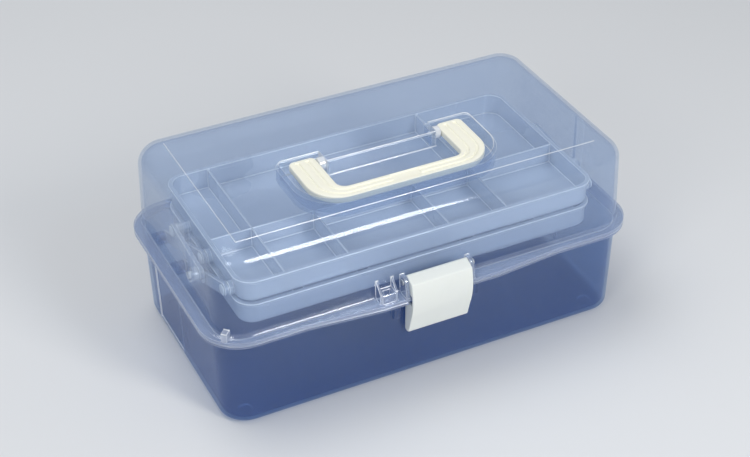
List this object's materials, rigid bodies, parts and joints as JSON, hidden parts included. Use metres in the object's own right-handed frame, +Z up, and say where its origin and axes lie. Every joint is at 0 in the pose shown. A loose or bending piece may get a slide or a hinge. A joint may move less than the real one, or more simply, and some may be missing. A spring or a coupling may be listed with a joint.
{
  "type": "storage case",
  "caption": "Clear plastic makeup storage case with a hinged lid, a sunk carrying handle, a front latch, a padlock eye and divided trays that swing up and back as the lid opens.",
  "frame": {"origin": "centre of the case's footprint on the surface it stands on", "axes": "+X along the case, to the right as seen from the latch side; +Y from the latch to the hinges; +Z up"},
  "size_m": [0.33, 0.1983, 0.1423],
  "materials": {
    "clear_shell": "clear, slightly blue, glossy moulded plastic",
    "frosted_tray": "frosted clear moulded plastic",
    "handle_plastic": "ivory satin moulded plastic",
    "latch_plastic": "white, slightly translucent moulded plastic",
    "bar_plastic": "cloudy clear plastic strip",
    "pin_plastic": "white plastic rivet",
    "pin_steel": "plain steel pin"
  },
  "bodies": {
    "base": {"base_shell": "clear_shell", "base_pin_front_left": "pin_plastic", "base_pin_front_right": "pin_plastic", "base_pin_rear_left": "pin_plastic", "base_pin_rear_right": "pin_plastic", "hinge_pin_left": "pin_steel", "hinge_pin_right": "pin_steel"},
    "lid": {"lid_shell": "clear_shell", "latch_pin": "pin_steel", "handle_pin_left": "pin_plastic", "handle_pin_right": "pin_plastic", "lid_link_pin_left": "pin_plastic", "lid_link_pin_right": "pin_plastic"},
    "handle": {"handle": "handle_plastic"},
    "latch": {"latch": "latch_plastic"},
    "upper_tray": {"upper_tray": "frosted_tray", "upper_tray_pin_front_left": "pin_plastic", "upper_tray_pin_front_right": "pin_plastic", "upper_tray_pin_rear_left": "pin_plastic", "upper_tray_pin_rear_right": "pin_plastic", "tray_link_pin_left": "pin_plastic", "tray_link_pin_right": "pin_plastic"},
    "lower_tray": {"lower_tray": "frosted_tray", "lower_tray_pin_front_left": "pin_plastic", "lower_tray_pin_front_right": "pin_plastic", "lower_tray_pin_rear_left": "pin_plastic", "lower_tray_pin_rear_right": "pin_plastic"},
    "bar_front_left": {"bar_front_left": "bar_plastic"},
    "bar_front_right": {"bar_front_right": "bar_plastic"},
    "bar_rear_left": {"bar_rear_left": "bar_plastic"},
    "bar_rear_right": {"bar_rear_right": "bar_plastic"},
    "lid_link_left": {"lid_link_left": "bar_plastic"},
    "lid_link_right": {"lid_link_right": "bar_plastic"}
  },
  "joints": [
    {"name": "lid_hinge", "type": "hinge", "parent": "base", "child": "lid", "pos_m": [0, 0.0955, 0.075], "axis": [-1, 0, 0], "range_deg": [0, 100]},
    {"name": "handle_hinge", "type": "hinge", "parent": "lid", "child": "handle", "pos_m": [0, 0, 0.1375], "axis": [-1, 0, 0], "range_deg": [0, 95]},
    {"name": "latch_hinge", "type": "hinge", "parent": "lid", "child": "latch", "pos_m": [0, -0.0902, 0.0882], "axis": [-1, 0, 0], "range_deg": [0, 100]},
    {"name": "bar_front_left_hinge", "type": "hinge", "parent": "base", "child": "bar_front_left", "pos_m": [-0.1415, 0.022, 0.0665], "axis": [-1, 0, 0], "range_deg": [0, 70.2]},
    {"name": "bar_front_right_hinge", "type": "hinge", "parent": "base", "child": "bar_front_right", "pos_m": [0.1415, 0.022, 0.0665], "axis": [-1, 0, 0], "range_deg": [0, 70.2]},
    {"name": "bar_rear_left_hinge", "type": "hinge", "parent": "base", "child": "bar_rear_left", "pos_m": [-0.1415, 0.062, 0.0665], "axis": [-1, 0, 0], "range_deg": [0, 70.2]},
    {"name": "bar_rear_right_hinge", "type": "hinge", "parent": "base", "child": "bar_rear_right", "pos_m": [0.1415, 0.062, 0.0665], "axis": [-1, 0, 0], "range_deg": [0, 70.2]},
    {"name": "upper_tray_hinge", "type": "hinge", "parent": "bar_rear_left", "child": "upper_tray", "pos_m": [-0.1415, -0.01403, 0.09722], "axis": [-1, 0, 0], "range_deg": [-70.2, 0]},
    {"name": "lower_tray_hinge", "type": "hinge", "parent": "bar_rear_left", "child": "lower_tray", "pos_m": [-0.1415, 0.02398, 0.08186], "axis": [-1, 0, 0], "range_deg": [-70.2, 0]},
    {"name": "lid_link_left_hinge", "type": "hinge", "parent": "lid", "child": "lid_link_left", "pos_m": [-0.1475, -0.022, 0.0916], "axis": [-1, 0, 0], "range_deg": [0, 29.4]},
    {"name": "lid_link_right_hinge", "type": "hinge", "parent": "lid", "child": "lid_link_right", "pos_m": [0.1475, -0.022, 0.0916], "axis": [-1, 0, 0], "range_deg": [0, 29.4]}
  ],
  "couplings": [
    {"joint": "bar_front_left_hinge", "follows": "lid_hinge", "ratio": 0.702},
    {"joint": "bar_front_right_hinge", "follows": "lid_hinge", "ratio": 0.702},
    {"joint": "bar_rear_left_hinge", "follows": "lid_hinge", "ratio": 0.702},
    {"joint": "bar_rear_right_hinge", "follows": "lid_hinge", "ratio": 0.702},
    {"joint": "upper_tray_hinge", "follows": "lid_hinge", "ratio": -0.702},
    {"joint": "lower_tray_hinge", "follows": "lid_hinge", "ratio": -0.702},
    {"joint": "lid_link_left_hinge", "follows": "lid_hinge", "ratio": 0.294},
    {"joint": "lid_link_right_hinge", "follows": "lid_hinge", "ratio": 0.294}
  ]
}
